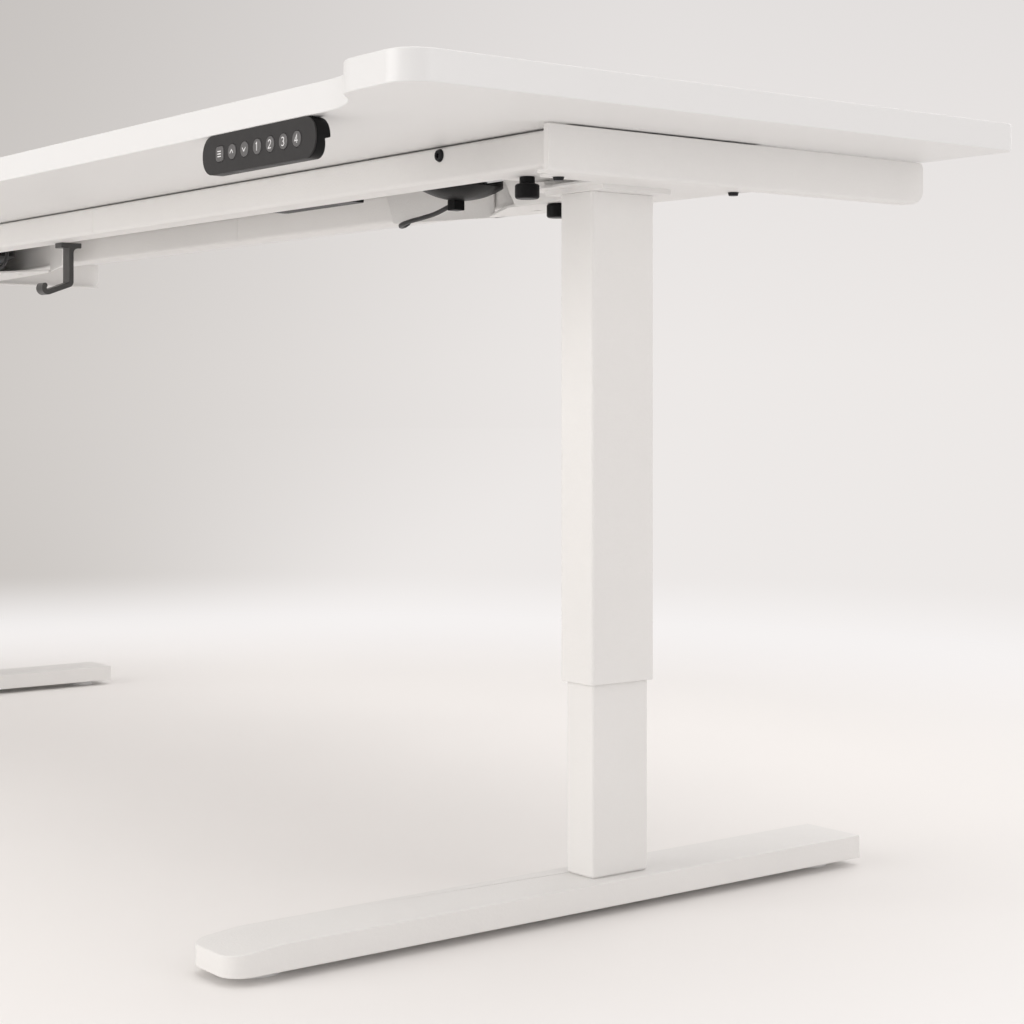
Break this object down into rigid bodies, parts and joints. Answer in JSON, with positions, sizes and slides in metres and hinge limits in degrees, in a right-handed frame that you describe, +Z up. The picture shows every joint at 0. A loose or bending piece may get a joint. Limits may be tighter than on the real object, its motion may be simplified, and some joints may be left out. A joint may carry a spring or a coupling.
{
  "type": "height adjustable standing desk",
  "caption": "Electric sit-stand desk: white laminate top with a recessed front edge on a steel frame with telescopic legs, long feet and a push-button keypad.",
  "frame": {"origin": "centre of the footprint on the floor, under the levelling pads", "axes": "+Z up, +X along the width towards the user's right, +Y from the user towards the back"},
  "size_m": [2.186, 0.8126, 0.7775],
  "materials": {
    "laminate": "satin white laminate with matching edge band",
    "white_powder_coat": "fine matt powder coat",
    "zinc_steel": "zinc plated",
    "brass": "turned",
    "nylon": "moulded",
    "rubber": "matt",
    "pad_plastic": "moulded grey",
    "button_rubber": "soft touch",
    "keypad_face": "fine texture",
    "black_oxide": "black oxide",
    "cable_jacket": "PVC jacket",
    "cast_housing": "black casting",
    "black_plastic": "moulded black"
  },
  "bodies": {
    "base_right": {"foot_right": "white_powder_coat", "foot_bolts_right": "zinc_steel", "inner_tube_right": "white_powder_coat", "upper_guide_right": "nylon", "lead_nut_right": "brass"},
    "upper": {"desktop": "laminate", "desktop_screws": "zinc_steel", "isolation_pads": "rubber", "front_rail_right": "white_powder_coat", "front_rail_left": "white_powder_coat", "rear_rail_right": "white_powder_coat", "rear_rail_left": "white_powder_coat", "rail_splices": "zinc_steel", "rail_screws": "black_oxide", "side_bracket_right": "white_powder_coat", "side_bracket_left": "white_powder_coat", "leg_plate_right": "white_powder_coat", "leg_plate_left": "white_powder_coat", "knob_bolts_right": "black_plastic", "knob_bolts_left": "black_plastic", "outer_tube_right": "white_powder_coat", "outer_tube_left": "white_powder_coat", "lower_guide_right": "nylon", "lower_guide_left": "nylon", "gearbox_right": "cast_housing", "gearbox_left": "cast_housing", "motor_right": "black_plastic", "motor_left": "black_plastic", "motor_plug_right": "black_plastic", "motor_plug_left": "black_plastic", "motor_cable_right": "cable_jacket", "motor_cable_left": "cable_jacket", "cable_clips": "black_plastic", "control_box": "black_plastic", "keypad_case": "black_plastic", "keypad_face": "keypad_face", "headphone_hook": "black_plastic", "small_screws": "black_oxide"},
    "base_left": {"foot_left": "white_powder_coat", "foot_bolts_left": "zinc_steel", "inner_tube_left": "white_powder_coat", "upper_guide_left": "nylon", "lead_nut_left": "brass"},
    "screw_right": {"lead_screw_right": "zinc_steel", "screw_gear_right": "zinc_steel"},
    "drive_right": {"drive_shaft_right": "zinc_steel"},
    "leveller_front_right": {"leveller_front_right": "pad_plastic"},
    "leveller_rear_right": {"leveller_rear_right": "pad_plastic"},
    "screw_left": {"lead_screw_left": "zinc_steel", "screw_gear_left": "zinc_steel"},
    "drive_left": {"drive_shaft_left": "zinc_steel"},
    "leveller_front_left": {"leveller_front_left": "pad_plastic"},
    "leveller_rear_left": {"leveller_rear_left": "pad_plastic"},
    "button_1": {"button_1": "button_rubber"},
    "button_2": {"button_2": "button_rubber"},
    "button_3": {"button_3": "button_rubber"},
    "button_4": {"button_4": "button_rubber"},
    "button_5": {"button_5": "button_rubber"},
    "button_6": {"button_6": "button_rubber"},
    "button_7": {"button_7": "button_rubber"}
  },
  "joints": [
    {"name": "lift_right", "type": "slide", "parent": "base_right", "child": "upper", "axis": [0, 0, 1], "range_m": [-0.065, 0.3]},
    {"name": "lift_left", "type": "slide", "parent": "upper", "child": "base_left", "axis": [0, 0, -1], "range_m": [-0.065, 0.3]},
    {"name": "screw_spin_right", "type": "hinge", "parent": "upper", "child": "screw_right", "pos_m": [0.884, 0.0397, 0.5], "axis": [0, 0, 1], "range_deg": [-2930, 13510]},
    {"name": "drive_spin_right", "type": "hinge", "parent": "upper", "child": "drive_right", "pos_m": [0.784, 0.0397, 0.732], "axis": [1, 0, 0], "range_deg": [-27020, 5860]},
    {"name": "screw_spin_left", "type": "hinge", "parent": "upper", "child": "screw_left", "pos_m": [-0.884, 0.0397, 0.5], "axis": [0, 0, 1], "range_deg": [-2930, 13510]},
    {"name": "drive_spin_left", "type": "hinge", "parent": "upper", "child": "drive_left", "pos_m": [-0.784, 0.0397, 0.732], "axis": [1, 0, 0], "range_deg": [-5860, 27020]},
    {"name": "level_front_right", "type": "slide", "parent": "base_right", "child": "leveller_front_right", "axis": [0, 0, -1], "range_m": [0, 0.01]},
    {"name": "level_rear_right", "type": "slide", "parent": "base_right", "child": "leveller_rear_right", "axis": [0, 0, -1], "range_m": [0, 0.01]},
    {"name": "level_front_left", "type": "slide", "parent": "base_left", "child": "leveller_front_left", "axis": [0, 0, -1], "range_m": [0, 0.01]},
    {"name": "level_rear_left", "type": "slide", "parent": "base_left", "child": "leveller_rear_left", "axis": [0, 0, -1], "range_m": [0, 0.01]},
    {"name": "press_1", "type": "slide", "parent": "upper", "child": "button_1", "axis": [0, 1, 0], "range_m": [0, 0.0008], "stiffness_N_per_m": 400},
    {"name": "press_2", "type": "slide", "parent": "upper", "child": "button_2", "axis": [0, 1, 0], "range_m": [0, 0.0008], "stiffness_N_per_m": 400},
    {"name": "press_3", "type": "slide", "parent": "upper", "child": "button_3", "axis": [0, 1, 0], "range_m": [0, 0.0008], "stiffness_N_per_m": 400},
    {"name": "press_4", "type": "slide", "parent": "upper", "child": "button_4", "axis": [0, 1, 0], "range_m": [0, 0.0008], "stiffness_N_per_m": 400},
    {"name": "press_5", "type": "slide", "parent": "upper", "child": "button_5", "axis": [0, 1, 0], "range_m": [0, 0.0008], "stiffness_N_per_m": 400},
    {"name": "press_6", "type": "slide", "parent": "upper", "child": "button_6", "axis": [0, 1, 0], "range_m": [0, 0.0008], "stiffness_N_per_m": 400},
    {"name": "press_7", "type": "slide", "parent": "upper", "child": "button_7", "axis": [0, 1, 0], "range_m": [0, 0.0008], "stiffness_N_per_m": 400}
  ],
  "couplings": [
    {"joint": "lift_left", "follows": "lift_right", "ratio": 1},
    {"joint": "screw_spin_right", "follows": "lift_right", "rad_per_m": 785.4},
    {"joint": "drive_spin_right", "follows": "lift_right", "rad_per_m": -1570.8},
    {"joint": "screw_spin_left", "follows": "lift_right", "rad_per_m": 785.4},
    {"joint": "drive_spin_left", "follows": "lift_right", "rad_per_m": 1570.8}
  ]
}
